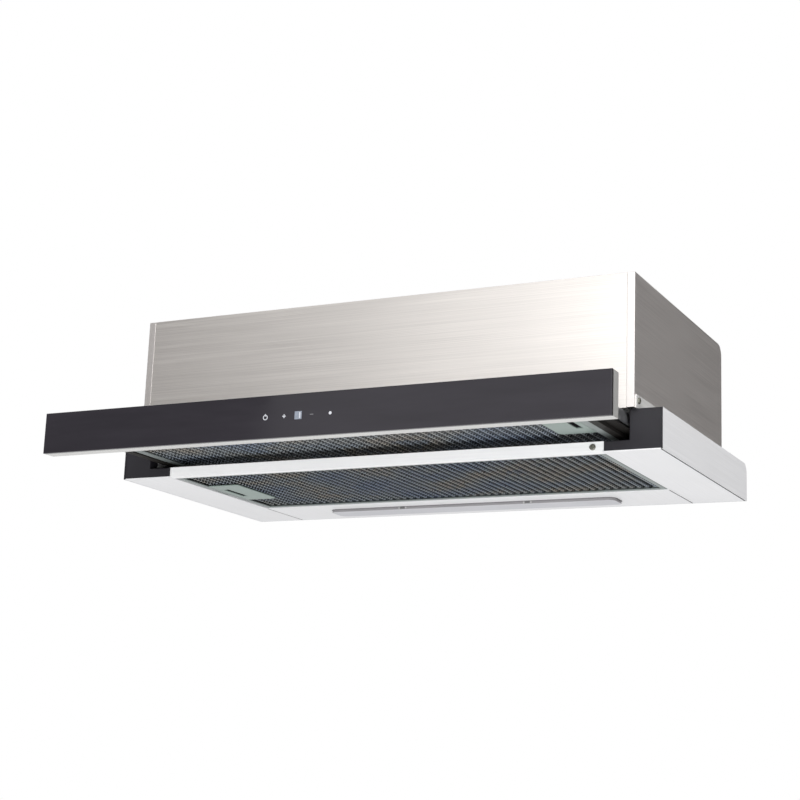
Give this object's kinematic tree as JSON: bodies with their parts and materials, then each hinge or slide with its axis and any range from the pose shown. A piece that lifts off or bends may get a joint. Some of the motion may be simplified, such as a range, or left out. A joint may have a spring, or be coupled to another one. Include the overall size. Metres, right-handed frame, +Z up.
{
  "type": "built-in range hood",
  "caption": "Built-in telescopic range hood: steel box over a slim canopy with mesh grease filters, a lamp and a pull-out black glass fronted drawer with touch controls.",
  "frame": {"origin": "middle of the canopy's rear lower edge, on the wall plane", "axes": "+X to the right of someone facing the hood, +Y into the wall, +Z up; stored with the drawer pulled out"},
  "size_m": [0.6, 0.4235, 0.215],
  "materials": {
    "front_steel": "horizontally brushed stainless steel",
    "box_steel": "galvanised and brushed sheet steel",
    "bracket_steel": "bright pressed sheet steel",
    "trim_steel": "bright brushed stainless steel",
    "cap_black": "satin black moulding",
    "black_glass": "back-printed black toughened glass",
    "carrier_aluminium": "satin anodised extrusion",
    "filter_frame": "satin aluminium channel",
    "filter_mesh": "expanded aluminium mesh",
    "latch_plate": "pale grey-green anodised plate",
    "lens_frosted": "frosted polycarbonate",
    "led_board": "white circuit board",
    "led_chip": "phosphor-coated chip",
    "touch_board": "green circuit board",
    "display": "display module",
    "drawer_black": "black powder-coated steel",
    "slide_zinc": "zinc-plated steel",
    "fan_plastic": "dark grey moulding",
    "impeller_plastic": "black moulding",
    "motor_paint": "grey painted motor can",
    "shaft_steel": "ground steel",
    "bracket_zinc": "zinc-plated strap",
    "capacitor": "off-white can",
    "control_case": "light grey case",
    "gland_black": "black nylon",
    "collar_plastic": "black moulding",
    "flap_plastic": "dark grey moulding",
    "screw_zinc": "zinc-plated screw"
  },
  "bodies": {
    "hood": {"box_front_panel": "front_steel", "box_side_left": "box_steel", "box_side_right": "box_steel", "top_and_back_cover": "box_steel", "side_bracket_left": "bracket_steel", "side_bracket_right": "bracket_steel", "canopy_back": "bracket_steel", "side_trim_left": "trim_steel", "side_trim_right": "trim_steel", "corner_cap_left": "cap_black", "corner_cap_right": "cap_black", "bottom_strip_left": "trim_steel", "bottom_strip_right": "trim_steel", "front_rail": "trim_steel", "rail_screw": "screw_zinc", "lamp_panel": "trim_steel", "lamp_lens": "lens_frosted", "led_board": "led_board", "led_chips": "led_chip", "lower_filter_frame": "filter_frame", "lower_filter_mesh": "filter_mesh", "slide_outer_left": "slide_zinc", "slide_outer_right": "slide_zinc", "fan_housing": "fan_plastic", "motor": "motor_paint", "motor_bracket": "bracket_zinc", "capacitor": "capacitor", "control_box": "control_case", "cable_gland": "gland_black", "outlet_collar": "collar_plastic", "damper_pin": "shaft_steel", "flange_screws": "screw_zinc", "cover_screws": "screw_zinc"},
    "drawer": {"glass_panel": "black_glass", "front_carrier": "carrier_aluminium", "carrier_screws": "screw_zinc", "touch_board": "touch_board", "display_module": "display", "drawer_side_left": "drawer_black", "drawer_side_right": "drawer_black", "drawer_rear_bar": "drawer_black", "slide_inner_left": "slide_zinc", "slide_inner_right": "slide_zinc", "upper_filter_frame": "filter_frame", "upper_filter_mesh": "filter_mesh"},
    "slide_middle_left": {"slide_middle_left": "slide_zinc"},
    "slide_middle_right": {"slide_middle_right": "slide_zinc"},
    "lower_latch": {"lower_filter_latch": "latch_plate"},
    "upper_latch": {"upper_filter_latch": "latch_plate"},
    "fan_rotor": {"impeller": "impeller_plastic", "fan_shaft": "shaft_steel"},
    "damper_front": {"damper_flap_front": "flap_plastic"},
    "damper_rear": {"damper_flap_rear": "flap_plastic"}
  },
  "joints": [
    {"name": "drawer_slide", "type": "slide", "parent": "hood", "child": "drawer", "axis": [0, 1, 0], "range_m": [0, 0.113]},
    {"name": "slide_middle_left_slide", "type": "slide", "parent": "hood", "child": "slide_middle_left", "axis": [0, 1, 0], "range_m": [0, 0.0565]},
    {"name": "slide_middle_right_slide", "type": "slide", "parent": "hood", "child": "slide_middle_right", "axis": [0, 1, 0], "range_m": [0, 0.0565]},
    {"name": "lower_latch_slide", "type": "slide", "parent": "hood", "child": "lower_latch", "axis": [1, 0, 0], "range_m": [0, 0.005], "stiffness_N_per_m": 300, "springref_m": -0.003},
    {"name": "upper_latch_slide", "type": "slide", "parent": "drawer", "child": "upper_latch", "axis": [-1, 0, 0], "range_m": [0, 0.005], "stiffness_N_per_m": 300, "springref_m": -0.003},
    {"name": "fan_spin", "type": "hinge", "parent": "hood", "child": "fan_rotor", "pos_m": [0, -0.125, 0.10475], "axis": [1, 0, 0], "continuous": true},
    {"name": "damper_front_swing", "type": "hinge", "parent": "hood", "child": "damper_front", "pos_m": [0, -0.085, 0.184], "axis": [-1, 0, 0], "range_deg": [0, 75]},
    {"name": "damper_rear_swing", "type": "hinge", "parent": "hood", "child": "damper_rear", "pos_m": [0, -0.085, 0.184], "axis": [1, 0, 0], "range_deg": [0, 75]}
  ],
  "couplings": [
    {"joint": "slide_middle_left_slide", "follows": "drawer_slide", "ratio": 0.5},
    {"joint": "slide_middle_right_slide", "follows": "drawer_slide", "ratio": 0.5}
  ]
}
